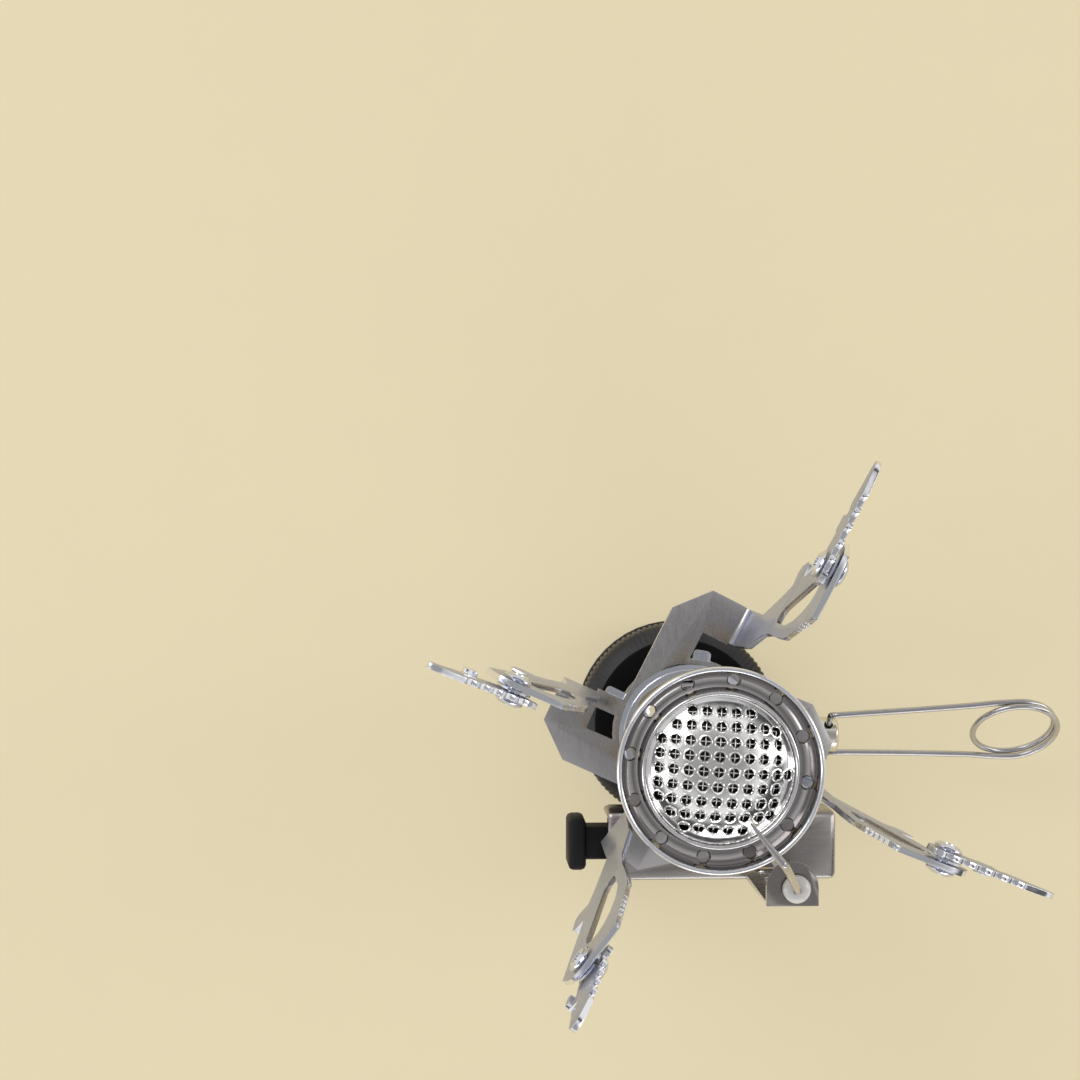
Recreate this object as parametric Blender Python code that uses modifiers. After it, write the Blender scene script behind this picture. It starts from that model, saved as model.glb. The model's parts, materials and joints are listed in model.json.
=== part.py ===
"""A folding canister stove: screw-on collar, needle valve, slotted pillar, perforated dome burner,
push-button igniter, and four toothed pot supports on two brackets that swing round the pillar.

Metres, +Z up. The origin is the centre of the collar's underside, and +X runs along the valve handle.
"""

import math

import bmesh
import bpy
from mathutils import Matrix, Vector

MM = 0.001
TURN = 2 * math.pi

# Collar and socket. The thread is 7/16 inch, so the bore is 11.1 mm across.
COLLAR_R = 15.8 * MM
COLLAR_TOP = 8.4 * MM
GASKET_TOP = 1.7 * MM
SOCKET_R = 8.3 * MM
SOCKET_TOP = 8.35 * MM
THREAD_R = 5.55 * MM
THREAD_DEPTH = 7.0 * MM

# Valve. The spindle lies along +X, a little to one side of the pillar's axis.
VALVE_R = 8.2 * MM
VALVE_LOW = 8.7 * MM
VALVE_TOP = 17.0 * MM
BOSS_END = 14.8 * MM
SPINDLE = Vector((0, -1.4 * MM, 11.6 * MM))
SPINDLE_R = 1.2 * MM
SPINDLE_END = 21.2 * MM
HUB_R = 2.75 * MM
HUB_START = 20.6 * MM
HUB_END = 24.6 * MM
HANDLE_X = 23.0 * MM
HANDLE_TILT = math.radians(49)
HANDLE_WIRE_R = 0.45 * MM
LEG_HALF = 5.2 * MM
RING_X = 53.0 * MM
RING_R = 6.55 * MM
RING_RISE = 1.6 * MM
HANDLE_DROOP = math.radians(1.3)

# Pillar and burner head.
PILLAR_R = 8.3 * MM
PILLAR_WALL = 0.8 * MM
PILLAR_LOW = 18.5 * MM
PILLAR_TOP = 51.7 * MM
FLANGE_TOP = 20.2 * MM
SLOT_WIDTH = 5.0 * MM
SLOT_LOW = 27.5 * MM
SLOT_TOP = 50.0 * MM
SLOT_PAIRS = 3
RIM_R = 14.3 * MM
RIM_TOP = 64.5 * MM
AIR_HOLES = 12
AIR_HOLE_R = 0.85 * MM
AIR_HOLE_CIRCLE = 12.4 * MM
AIR_HOLE_PHASE = 0.68
DOME_R = 10.05 * MM
DOME_EDGE = 63.0 * MM
DOME_TOP = 66.0 * MM
DOME_SHEET = 0.4 * MM
PORT_PITCH = 2.1 * MM
PORT_R = 0.65 * MM
PORT_TURN = math.radians(-4)
PORT_SHIFT = -0.24

# Igniter channel, piezo unit and electrode.
CHANNEL_LEFT = -12.2 * MM
CHANNEL_RIGHT = 23.5 * MM
CHANNEL_FRONT = -23.3 * MM
CHANNEL_BACK = -12.6 * MM
CHANNEL_LOW = 8.8 * MM
CHANNEL_TOP = 18.2 * MM
CHANNEL_SHEET = 0.7 * MM
PIEZO_Y = -17.8 * MM
PIEZO_Z = 13.2 * MM
STRIP_X = (8.9 * MM, 16.5 * MM)
STRIP_Y = -21.95 * MM
STRIP_SHEET = 0.7 * MM
STRIP_LOW = 12.0 * MM
TAB_Z = 44.75 * MM
TAB_END = -15.9 * MM
ELECTRODE = Vector((13.2 * MM, -19.7 * MM, 0))

# Pot supports. Each arm is the same hooked plate and upright blade, turned to its own heading.
SHEET = 0.8 * MM
HUB_PLATE_R = 11.6 * MM
PLATE_BORE = 8.65 * MM
UPPER_PLATE_Z = 23.3 * MM
LOWER_PLATE_Z = 21.0 * MM
BEND_R = 0.9 * MM
ARM_HEADINGS = {1: 62.8, 2: 155.6, 3: 231.9, 4: -22.1}
TIP_RAISED = {1: 0.0, 2: 37.0, 3: 66.0, 4: 0.0}
UPPER_ARMS = (1, 2)
LOWER_ARMS = (3, 4)
PIVOT_R = 31.1 * MM
PIVOT_Z = 71.8 * MM
RIVET_R = 1.1 * MM
RIVET_HOLE_R = 1.35 * MM
RIVET_HEAD_R = 2.0 * MM
TIP_V = 1.6 * MM
TIP_TEETH = 5
TOOTH_PITCH = 2.35 * MM
TOOTH_DEPTH = 0.7 * MM
TOOTH_TOP = 3.1 * MM

STEEL = ("stainless_steel", (0.62, 0.60, 0.61), 0.30, 1.0)
BRIGHT_STEEL = ("bright_steel", (0.78, 0.77, 0.77), 0.16, 1.0)
BLACK_METAL = ("black_anodised", (0.02, 0.02, 0.021), 0.42, 0.6)
BRASS = ("brass", (0.72, 0.56, 0.27), 0.28, 1.0)
NICKEL = ("nickel_plate", (0.74, 0.70, 0.60), 0.25, 1.0)
RUBBER = ("black_rubber", (0.015, 0.015, 0.015), 0.75, 0.0)
PLASTIC = ("black_plastic", (0.012, 0.012, 0.013), 0.45, 0.0)
CERAMIC = ("white_ceramic", (0.86, 0.85, 0.82), 0.22, 0.0)
LEAD = ("lead_sleeve", (0.80, 0.79, 0.76), 0.55, 0.0)
SCREEN = ("screen_wire", (0.30, 0.29, 0.29), 0.5, 1.0)


# ---------------------------------------------------------------- shared helpers

def clear_scene():
    for obj in list(bpy.data.objects):
        bpy.data.objects.remove(obj, do_unlink=True)


def new_collection(name):
    collection = bpy.data.collections.new(name)
    bpy.context.scene.collection.children.link(collection)
    return collection


def finish_for(finish):
    """The material of this name, made the first time that it is asked for."""
    name, color, roughness, metallic = finish
    found = bpy.data.materials.get(name)
    if found:
        return found
    made = bpy.data.materials.new(name)
    made.use_nodes = True
    shader = made.node_tree.nodes["Principled BSDF"]
    shader.inputs["Base Color"].default_value = (*color, 1.0)
    shader.inputs["Roughness"].default_value = roughness
    shader.inputs["Metallic"].default_value = metallic
    return made


def add_part(name, data, finish):
    obj = bpy.data.objects.new(name, data)
    parts.objects.link(obj)
    data.materials.append(finish_for(finish))
    return obj


def smooth(obj, angle=35):
    obj.data.shade_smooth()
    obj.data.set_sharp_from_angle(angle=math.radians(angle))
    return obj


def combine(target, tool, operation):
    """Cuts or joins the tool, which stays in the cutters' collection."""
    for collection in list(tool.users_collection):
        collection.objects.unlink(tool)
    cutters.objects.link(tool)
    tool.hide_render = True
    tool.display_type = "WIRE"
    modifier = target.modifiers.new(tool.name, "BOOLEAN")
    modifier.operation = operation
    modifier.solver = "EXACT"
    modifier.object = tool
    return target


def cut(target, tool):
    return combine(target, tool, "DIFFERENCE")


def join(target, tool):
    return combine(target, tool, "UNION")


def arc(centre, radius, start, end, steps):
    """Points on an arc, from the start angle to the end angle in degrees."""
    points = []
    for i in range(steps + 1):
        angle = math.radians(start + (end - start) * i / steps)
        points.append((centre[0] + radius * math.cos(angle), centre[1] + radius * math.sin(angle)))
    return points


def turned(name, profile, finish, steps=40, closed=True, place=Matrix()):
    """A profile of (radius, height) turned about Z. It runs down the outer side and up the inner one."""
    mesh = bpy.data.meshes.new(name)
    verts = [(r, 0, z) for r, z in profile]
    edges = [(i, i + 1) for i in range(len(verts) - 1)]
    if closed:
        edges.append((len(verts) - 1, 0))
    mesh.from_pydata(verts, edges, [])
    obj = add_part(name, mesh, finish)
    obj.matrix_world = place
    screw = obj.modifiers.new("turn", "SCREW")
    screw.steps = steps
    screw.render_steps = steps
    screw.use_merge_vertices = True
    screw.merge_threshold = 1e-6
    screw.use_smooth_shade = True
    return obj


def box(name, low, high, finish, bevel=0.0, segments=2):
    """A box between two corners, with its edges rounded when a bevel is given."""
    mesh = bpy.data.meshes.new(name)
    bm = bmesh.new()
    bmesh.ops.create_cube(bm, size=1.0)
    size = Vector(high) - Vector(low)
    bmesh.ops.transform(bm, matrix=Matrix.Diagonal((*size, 1.0)), verts=bm.verts)
    bm.to_mesh(mesh)
    bm.free()
    obj = add_part(name, mesh, finish)
    obj.location = (Vector(low) + Vector(high)) / 2
    if bevel:
        rounding = obj.modifiers.new("rounding", "BEVEL")
        rounding.width = bevel
        rounding.segments = segments
    return obj


def rod(name, start, end, radius, finish, sides=24, end_radius=None):
    """A cylinder, or a cone when an end radius is given, between two points."""
    start = Vector(start)
    along = Vector(end) - start
    mesh = bpy.data.meshes.new(name)
    bm = bmesh.new()
    bmesh.ops.create_cone(
        bm, cap_ends=True, segments=sides, radius1=radius,
        radius2=radius if end_radius is None else end_radius, depth=along.length,
    )
    bm.to_mesh(mesh)
    bm.free()
    obj = add_part(name, mesh, finish)
    turn = along.to_track_quat("Z", "Y").to_matrix().to_4x4()
    obj.matrix_world = Matrix.Translation(start + along / 2) @ turn
    return obj


def sheet(name, outlines, thickness, finish):
    """A flat piece in the XY plane, cut to the first outline, with the others as holes."""
    curve = bpy.data.curves.new(name, "CURVE")
    curve.dimensions = "2D"
    curve.fill_mode = "BOTH"
    curve.extrude = thickness / 2
    for outline in outlines:
        spline = curve.splines.new("POLY")
        spline.points.add(len(outline) - 1)
        for point, (x, y) in zip(spline.points, outline):
            point.co = (x, y, 0, 1)
        spline.use_cyclic_u = True
    guide = bpy.data.objects.new(name + "_outline", curve)
    parts.objects.link(guide)
    graph = bpy.context.evaluated_depsgraph_get()
    mesh = bpy.data.meshes.new_from_object(guide.evaluated_get(graph))
    bpy.data.objects.remove(guide)
    mesh.name = name
    bm = bmesh.new()
    bm.from_mesh(mesh)
    bmesh.ops.remove_doubles(bm, verts=bm.verts, dist=1e-6)
    bmesh.ops.recalc_face_normals(bm, faces=bm.faces)
    bm.to_mesh(mesh)
    bm.free()
    mesh.materials.clear()
    return add_part(name, mesh, finish)


def wire(name, points, radius, finish, taper=None):
    """A round wire along a list of points. The taper scales its radius at each point."""
    curve = bpy.data.curves.new(name, "CURVE")
    curve.dimensions = "3D"
    curve.bevel_depth = radius
    curve.bevel_resolution = 2
    curve.use_fill_caps = True
    spline = curve.splines.new("POLY")
    spline.points.add(len(points) - 1)
    for i, co in enumerate(points):
        spline.points[i].co = (*co, 1)
        spline.points[i].radius = taper[i] if taper else 1.0
    return add_part(name, curve, finish)


def rounded_rectangle(low, high, radius, steps=3):
    (x0, y0), (x1, y1) = low, high
    corners = ((x1 - radius, y1 - radius, 0), (x0 + radius, y1 - radius, 90),
               (x0 + radius, y0 + radius, 180), (x1 - radius, y0 + radius, 270))
    points = []
    for x, y, start in corners:
        points += arc((x, y), radius, start, start + 90, steps)
    return points


def heading(degrees):
    return Matrix.Rotation(math.radians(degrees), 4, "Z")


STAND_UP = Matrix.Rotation(math.radians(90), 4, "X")
ALONG_X = Matrix.Rotation(math.radians(90), 4, "Y")


# ---------------------------------------------------------------- collar and valve

def make_collar():
    turned("base_gasket", [
        (COLLAR_R - 0.3 * MM, GASKET_TOP), (COLLAR_R, GASKET_TOP - 0.3 * MM),
        (COLLAR_R, 0.3 * MM), (COLLAR_R - 0.3 * MM, 0), (9.2 * MM, 0), (9.2 * MM, GASKET_TOP),
    ], RUBBER, steps=48)
    turned("base_collar", [
        (13.1 * MM, COLLAR_TOP), (14.6 * MM, COLLAR_TOP - 0.7 * MM),
        (COLLAR_R - 0.2 * MM, COLLAR_TOP - 1.7 * MM), (COLLAR_R, COLLAR_TOP - 2.2 * MM),
        (COLLAR_R, 2.4 * MM), (COLLAR_R - 0.4 * MM, 2.0 * MM), (8.7 * MM, 2.0 * MM), (8.7 * MM, COLLAR_TOP),
    ], BLACK_METAL, steps=48)
    turned("thread_socket", [
        (SOCKET_R, SOCKET_TOP), (SOCKET_R, 0.6 * MM), (THREAD_R + 0.4 * MM, 0.6 * MM),
        (THREAD_R, 1.0 * MM), (THREAD_R, THREAD_DEPTH), (1.5 * MM, THREAD_DEPTH), (1.5 * MM, SOCKET_TOP),
    ], BRASS, steps=36)
    seal_centre = (4.2 * MM, THREAD_DEPTH - 1.2 * MM)
    turned("socket_o_ring", arc(seal_centre, 0.85 * MM, 90, -210, 5), RUBBER, steps=28)
    turned("valve_pin", [
        (0, 8.5 * MM), (1.1 * MM, 8.5 * MM), (1.1 * MM, 2.8 * MM), (0.7 * MM, 2.4 * MM), (0, 2.4 * MM),
    ], BRASS, steps=16, closed=False)


def make_valve():
    body = rod("valve_body", (0, 0, VALVE_LOW), (0, 0, VALVE_TOP), VALVE_R, BLACK_METAL, sides=36)
    boss = box("boss", (0, SPINDLE.y - 5.4 * MM, VALVE_LOW + 0.1 * MM),
               (BOSS_END, SPINDLE.y + 5.4 * MM, VALVE_TOP - 0.1 * MM), BLACK_METAL, bevel=0.9 * MM)
    join(body, boss)
    cut(body, rod("gas_way", (0, 0, VALVE_LOW - MM), (0, 0, VALVE_TOP + MM), 1.25 * MM, BRASS, sides=12))
    bore_start = SPINDLE + Vector((-1.5 * MM, 0, 0))
    bore_end = SPINDLE + Vector((BOSS_END + MM, 0, 0))
    cut(body, rod("spindle_bore", bore_start, bore_end, 1.6 * MM, BRASS, sides=16))
    gland_start = SPINDLE + Vector((11.3 * MM, 0, 0))
    cut(body, rod("gland_bore", gland_start, bore_end, 2.5 * MM, BRASS, sides=20))

    along_spindle = Matrix.Translation(SPINDLE) @ ALONG_X
    nut_low, nut_high = 15.1 * MM, 17.6 * MM
    nut = rod("packing_nut", SPINDLE + Vector((nut_low, 0, 0)), SPINDLE + Vector((nut_high, 0, 0)),
              3.3 * MM, NICKEL, sides=6)
    neck = rod("nut_neck", SPINDLE + Vector((13.0 * MM, 0, 0)), SPINDLE + Vector((16.0 * MM, 0, 0)),
               2.15 * MM, NICKEL, sides=20)
    join(nut, neck)
    cut(nut, rod("nut_bore", SPINDLE + Vector((12.0 * MM, 0, 0)), SPINDLE + Vector((19.0 * MM, 0, 0)),
                 1.5 * MM, NICKEL, sides=16))
    turned("spindle_o_ring", arc((1.95 * MM, 12.1 * MM), 0.38 * MM, 90, -210, 5), RUBBER, steps=20,
           place=along_spindle)
    turned("valve_spindle", [
        (0, SPINDLE_END), (SPINDLE_R, SPINDLE_END), (SPINDLE_R, 4.4 * MM),
        (0.35 * MM, 1.4 * MM), (0, 1.2 * MM),
    ], BRASS, steps=16, closed=False, place=along_spindle)


def cross_axis():
    """The handle's fold axis, across the hub."""
    return Vector((0, math.cos(HANDLE_TILT), math.sin(HANDLE_TILT)))


def make_handle():
    along_spindle = Matrix.Translation(SPINDLE) @ ALONG_X
    edge = 0.35 * MM
    hub = turned("handle_hub", [
        (0, HUB_END), (HUB_R - edge, HUB_END), (HUB_R, HUB_END - edge), (HUB_R, HUB_START + edge),
        (HUB_R - edge, HUB_START), (1.5 * MM, HUB_START), (1.5 * MM, SPINDLE_END + 0.3 * MM),
        (0, SPINDLE_END + 0.3 * MM),
    ], NICKEL, steps=28, closed=False, place=along_spindle)
    middle = SPINDLE + Vector((HANDLE_X, 0, 0))
    reach = cross_axis() * 4 * MM
    cut(hub, rod("cross_hole", middle - reach, middle + reach, 0.68 * MM, NICKEL, sides=12))

    obj = wire("valve_handle_wire", handle_route(), HANDLE_WIRE_R, BRIGHT_STEEL)
    across = cross_axis()
    normal = Vector((1, 0, 0)).cross(across)
    frame = Matrix((Vector((1, 0, 0)), across, normal)).transposed().to_4x4()
    obj.matrix_world = Matrix.Translation(middle) @ frame @ Matrix.Rotation(HANDLE_DROOP, 4, "Y")
    return obj


def handle_route():
    """The wire in its own plane: one end in the hub, a leg, one and a half turns, and the other leg."""
    ring = Vector((RING_X - HANDLE_X, 0, 0))
    steps = 32
    sweep = TURN * 1.5 + math.radians(6)
    loop = []
    for i in range(steps + 1):
        share = i / steps
        angle = math.radians(102) - share * sweep
        swell = RING_R - 0.2 * MM * math.sin(TURN * share)
        height = RING_RISE * (share - 0.5)
        loop.append(ring + Vector((swell * math.cos(angle), swell * math.sin(angle), height)))
    elbow = 0.9 * MM
    start = [Vector((0, 0.7 * MM, 0)), Vector((0, LEG_HALF - elbow, 0))]
    for degrees in (35, 65):
        turn = math.radians(degrees)
        start.append(Vector((elbow * (1 - math.cos(turn)), LEG_HALF - elbow * (1 - math.sin(turn)), 0)))
    start.append(Vector((elbow * 1.2, LEG_HALF, 0)))
    first_leg = start + [Vector((13 * MM, LEG_HALF + 0.45 * MM, -0.3 * MM)),
                         Vector((22 * MM, LEG_HALF + 0.8 * MM, -0.6 * MM)),
                         Vector((25.5 * MM, LEG_HALF + 1.05 * MM, -0.75 * MM))]
    last_leg = [Vector((27.2 * MM, -LEG_HALF - 1.1 * MM, 0.78 * MM)),
                Vector((23.4 * MM, -LEG_HALF - 0.6 * MM, 0.65 * MM)),
                Vector((12 * MM, -LEG_HALF - 0.2 * MM, 0.3 * MM))]
    last_leg += [Vector((p.x, -p.y, -p.z)) for p in reversed(start)]
    return first_leg + loop + last_leg


# ---------------------------------------------------------------- burner

def make_pillar():
    pillar = turned("burner_pillar", [
        (PILLAR_R, PILLAR_TOP), (PILLAR_R, FLANGE_TOP), (9.7 * MM, FLANGE_TOP), (9.7 * MM, PILLAR_LOW),
        (2.8 * MM, PILLAR_LOW), (2.8 * MM, FLANGE_TOP), (PILLAR_R - PILLAR_WALL, FLANGE_TOP),
        (PILLAR_R - PILLAR_WALL, PILLAR_TOP),
    ], BRIGHT_STEEL, steps=48)
    half = SLOT_WIDTH / 2
    arch = arc((0, SLOT_TOP - half), half, 0, 180, 8)
    outline = [(half, SLOT_LOW), *arch, (-half, SLOT_LOW)]
    for i in range(SLOT_PAIRS):
        slot = sheet(f"slot_{i + 1}", [outline], 24 * MM, STEEL)
        slot.matrix_world = heading(20 + 180 / SLOT_PAIRS * i) @ STAND_UP
        cut(pillar, slot)

    turned("gas_jet", [
        (0, 22.5 * MM), (0.4 * MM, 22.5 * MM), (0.4 * MM, 24.6 * MM), (1.2 * MM, 24.6 * MM),
        (1.5 * MM, 24.2 * MM), (1.5 * MM, 22.0 * MM), (2.4 * MM, 22.0 * MM), (2.4 * MM, 17.35 * MM),
        (0, 17.35 * MM),
    ], BRASS, steps=18, closed=False)
    turned("mixing_tube", [
        (4.0 * MM, 56.0 * MM), (4.0 * MM, 54.0 * MM), (5.6 * MM, 54.0 * MM), (5.6 * MM, 53.2 * MM),
        (4.0 * MM, 53.2 * MM), (4.0 * MM, 31.0 * MM), (4.9 * MM, 29.0 * MM), (4.4 * MM, 29.0 * MM),
        (3.4 * MM, 31.2 * MM), (3.4 * MM, 56.0 * MM),
    ], STEEL, steps=28)


def make_burner_head():
    cup = turned("burner_cup", [
        (RIM_R - 0.1 * MM, RIM_TOP), (RIM_R, RIM_TOP - 0.3 * MM), (RIM_R, 62.4 * MM), (13.4 * MM, 61.0 * MM),
        (11.4 * MM, 59.9 * MM), (9.2 * MM, 59.4 * MM), (8.3 * MM, 58.9 * MM), (8.3 * MM, 52.0 * MM),
        (4.4 * MM, 52.0 * MM), (4.4 * MM, 52.8 * MM), (7.5 * MM, 52.8 * MM), (7.5 * MM, 59.5 * MM),
        (9.0 * MM, 60.2 * MM), (11.2 * MM, 60.7 * MM), (12.8 * MM, 61.6 * MM), (13.5 * MM, 62.6 * MM),
        (13.6 * MM, RIM_TOP),
    ], BRIGHT_STEEL, steps=48)
    for i in range(AIR_HOLES):
        angle = TURN * (i + AIR_HOLE_PHASE) / AIR_HOLES
        x, y = AIR_HOLE_CIRCLE * math.cos(angle), AIR_HOLE_CIRCLE * math.sin(angle)
        cut(cup, rod(f"air_hole_{i + 1}", (x, y, 58 * MM), (x, y, 64 * MM), AIR_HOLE_R, STEEL, sides=8))

    turned("dome_ring", [
        (10.55 * MM, 64.0 * MM), (10.9 * MM, 63.7 * MM), (10.9 * MM, 61.2 * MM),
        (10.3 * MM, 61.2 * MM), (10.3 * MM, 64.0 * MM),
    ], BRIGHT_STEEL, steps=48)
    make_screen()
    make_dome()


def cap_profile(radius, sphere_r, sheet_t, steps):
    """A thin spherical cap's section, about the dome's own centre."""
    centre = (0, DOME_TOP - dome_sphere_r())
    half_angle = math.degrees(math.asin(radius / sphere_r))
    outer = arc(centre, sphere_r, 90, 90 - half_angle, steps)
    inner = arc(centre, sphere_r - sheet_t, 90 - half_angle, 90, steps)
    outer[0] = (0, outer[0][1])
    inner[-1] = (0, inner[-1][1])
    return outer + inner


def dome_sphere_r():
    rise = DOME_TOP - DOME_EDGE
    return (DOME_R ** 2 + rise ** 2) / (2 * rise)


def make_screen():
    """The flame screen follows the dome, a little way below it."""
    gap = DOME_SHEET + 0.5 * MM
    profile = cap_profile(DOME_R - 0.3 * MM, dome_sphere_r() - gap, 0.3 * MM, 4)
    turned("flame_screen", profile, SCREEN, steps=28, closed=False)


def make_dome():
    """A shallow spherical cap of thin sheet, pierced by a square grid of ports."""
    sphere_r = dome_sphere_r()
    profile = cap_profile(DOME_R, sphere_r, DOME_SHEET, 6)
    dome = turned("flame_dome", profile, BRIGHT_STEEL, steps=32, closed=False)

    mesh = bpy.data.meshes.new("ports")
    bm = bmesh.new()
    for x, y in port_centres(sphere_r):
        place = Matrix.Translation((x, y, DOME_TOP - 2 * MM))
        bmesh.ops.create_cone(bm, cap_ends=True, segments=6, radius1=PORT_R, radius2=PORT_R,
                              depth=8 * MM, matrix=place)
    bm.to_mesh(mesh)
    bm.free()
    cut(dome, add_part("ports", mesh, STEEL))


def port_centres(sphere_r):
    """The ports' square grid, punched flat and then domed, as far out as a whole port fits."""
    count = int(DOME_R / PORT_PITCH) + 1
    reach = DOME_R - PORT_R - 0.25 * MM
    centres = []
    for i in range(-count, count + 1):
        for j in range(-count, count + 1):
            flat = Vector(((i + PORT_SHIFT) * PORT_PITCH, j * PORT_PITCH))
            domed = sphere_r * math.sin(flat.length / sphere_r)
            if domed > reach:
                continue
            turn = Matrix.Rotation(PORT_TURN, 2)
            centres.append(turn @ flat.normalized() * domed)
    return centres


# ---------------------------------------------------------------- igniter

def make_channel():
    channel = box("channel_bracket", (CHANNEL_LEFT, CHANNEL_FRONT, CHANNEL_LOW),
                  (CHANNEL_RIGHT, CHANNEL_BACK, CHANNEL_TOP), STEEL, bevel=0.9 * MM)
    inside = box("channel_inside",
                 (CHANNEL_LEFT - 5 * MM, CHANNEL_FRONT + CHANNEL_SHEET, CHANNEL_LOW - 5 * MM),
                 (CHANNEL_RIGHT - CHANNEL_SHEET, CHANNEL_BACK - CHANNEL_SHEET, CHANNEL_TOP - CHANNEL_SHEET),
                 STEEL)
    cut(channel, inside)
    plate_low = CHANNEL_TOP - CHANNEL_SHEET
    foot = sheet("channel_foot", [
        [(-9.4 * MM, CHANNEL_BACK - 1.5 * MM), (9.4 * MM, CHANNEL_BACK - 1.5 * MM)]
        + arc((0, 0), 10.2 * MM, -23, 203, 20),
    ], CHANNEL_SHEET - 0.02 * MM, STEEL)
    foot.location.z = plate_low + CHANNEL_SHEET / 2
    join(channel, foot)
    cut(channel, rod("jet_way", (0, 0, 15 * MM), (0, 0, 20 * MM), 2.9 * MM, STEEL, sides=20))
    cut(channel, box("strip_slot", (STRIP_X[0] - 0.3 * MM, STRIP_Y - 0.65 * MM, 16 * MM),
                     (STRIP_X[1] + 0.3 * MM, STRIP_Y + 0.65 * MM, 20 * MM), STEEL))
    lead_way = ELECTRODE + Vector((0, 0.9 * MM, 0))
    cut(channel, rod("lead_way", lead_way + Vector((0, 0, 16 * MM)), lead_way + Vector((0, 0, 20 * MM)),
                     1.3 * MM, STEEL, sides=14))
    cut(channel, box("front_notch", (CHANNEL_LEFT - MM, CHANNEL_FRONT - MM, CHANNEL_LOW - MM),
                     (CHANNEL_LEFT + 3.2 * MM, CHANNEL_FRONT + 2 * MM, 15.6 * MM), STEEL, bevel=0.9 * MM))


def make_piezo():
    half = 3.5 * MM
    body = box("piezo_body", (-11.4 * MM, PIEZO_Y - half, PIEZO_Z - 3.8 * MM),
               (9.0 * MM, PIEZO_Y + half, PIEZO_Z + 3.8 * MM), PLASTIC, bevel=0.7 * MM)
    way = 2.85 * MM
    cut(body, box("plunger_way", (-14 * MM, PIEZO_Y - way, PIEZO_Z - way),
                  (0.4 * MM, PIEZO_Y + way, PIEZO_Z + way), PLASTIC))
    neck = 2.55 * MM
    head = 4.05 * MM
    button = box("piezo_button", (-18.1 * MM, PIEZO_Y - head, PIEZO_Z - 3.8 * MM),
                 (-15.3 * MM, PIEZO_Y + head, PIEZO_Z + 3.8 * MM), PLASTIC, bevel=0.8 * MM)
    join(button, box("button_neck", (-16.2 * MM, PIEZO_Y - neck, PIEZO_Z - neck),
                     (-3.0 * MM, PIEZO_Y + neck, PIEZO_Z + neck), PLASTIC, bevel=0.3 * MM, segments=1))


def make_electrode():
    left, right = STRIP_X
    middle = (left + right) / 2
    strip = sheet("electrode_bracket", [
        [(left, STRIP_LOW), (right, STRIP_LOW), (right, TAB_Z), (left, TAB_Z)],
        rounded_rectangle((middle - 1.5 * MM, 25 * MM), (middle + 1.5 * MM, 41 * MM), 1.45 * MM, steps=4),
        rounded_rectangle((middle - 1.7 * MM, 19.6 * MM), (middle + 1.7 * MM, 22.8 * MM), 1.2 * MM),
    ], STRIP_SHEET, STEEL)
    strip.matrix_world = Matrix.Translation((0, STRIP_Y, 0)) @ STAND_UP
    corner = 3.6 * MM
    tab = sheet("electrode_tab", [
        [(left, STRIP_Y - 0.34 * MM), (right, STRIP_Y - 0.34 * MM)]
        + arc((right - corner, TAB_END - corner), corner, 0, 90, 6)
        + arc((left + corner, TAB_END - corner), corner, 90, 180, 6),
        arc((ELECTRODE.x, ELECTRODE.y), 1.95 * MM, 0, 337.5, 15),
    ], STRIP_SHEET, STEEL)
    tab.location.z = TAB_Z
    join(strip, tab)

    at_electrode = Matrix.Translation(ELECTRODE)
    top = TAB_Z + STRIP_SHEET / 2
    turned("electrode_ceramic", [
        (0, 44.0 * MM), (0.8 * MM, 44.0 * MM), (0.8 * MM, top + 1.9 * MM), (1.5 * MM, top + 1.9 * MM),
        (2.05 * MM, top + 1.3 * MM),
        (2.05 * MM, top + 0.3 * MM), (1.6 * MM, top + 0.3 * MM), (1.6 * MM, 38.6 * MM),
        (0, 38.6 * MM),
    ], CERAMIC, steps=24, closed=False, place=at_electrode)

    route = electrode_route()
    wire("electrode_wire", route, 0.56 * MM, BRIGHT_STEEL, taper=[1, 1, 1, 1, 1, 1, 0.95, 0.7, 0.28])
    wire("igniter_lead", lead_route(), 0.7 * MM, LEAD)


def electrode_route():
    """Out of the ceramic, leaning in past the rim, then level over the dome's edge."""
    base = ELECTRODE + Vector((0, 0, 44.4 * MM))
    knee = Vector((8.7 * MM, -13.0 * MM, 66.2 * MM))
    tip = Vector((3.8 * MM, -6.9 * MM, 66.3 * MM))
    leave = base + Vector((0, 0, 3.0 * MM))
    return [
        base, leave, leave.lerp(knee, 0.3) + Vector((0.3 * MM, -0.5 * MM, 0)),
        leave.lerp(knee, 0.75), leave.lerp(knee, 0.93), knee.lerp(tip, 0.06) + Vector((0, 0, 0.25 * MM)),
        knee.lerp(tip, 0.2) + Vector((0, 0, 0.35 * MM)),
        knee.lerp(tip, 0.62) + Vector((0, 0, 0.15 * MM)), tip,
    ]


def lead_route():
    """From the piezo unit's end, up through the channel's hole to the foot of the ceramic."""
    corners = [
        Vector((9.4 * MM, PIEZO_Y, PIEZO_Z)), Vector((11.6 * MM, PIEZO_Y, PIEZO_Z)),
        ELECTRODE + Vector((-0.2 * MM, 1.4 * MM, 14.4 * MM)), ELECTRODE + Vector((0, 0.9 * MM, 17.8 * MM)),
        ELECTRODE + Vector((0, 0.4 * MM, 26 * MM)), ELECTRODE + Vector((0, 0, 34 * MM)),
        ELECTRODE + Vector((0, 0, 38.25 * MM)),
    ]
    return smooth_route(corners, 3)


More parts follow.
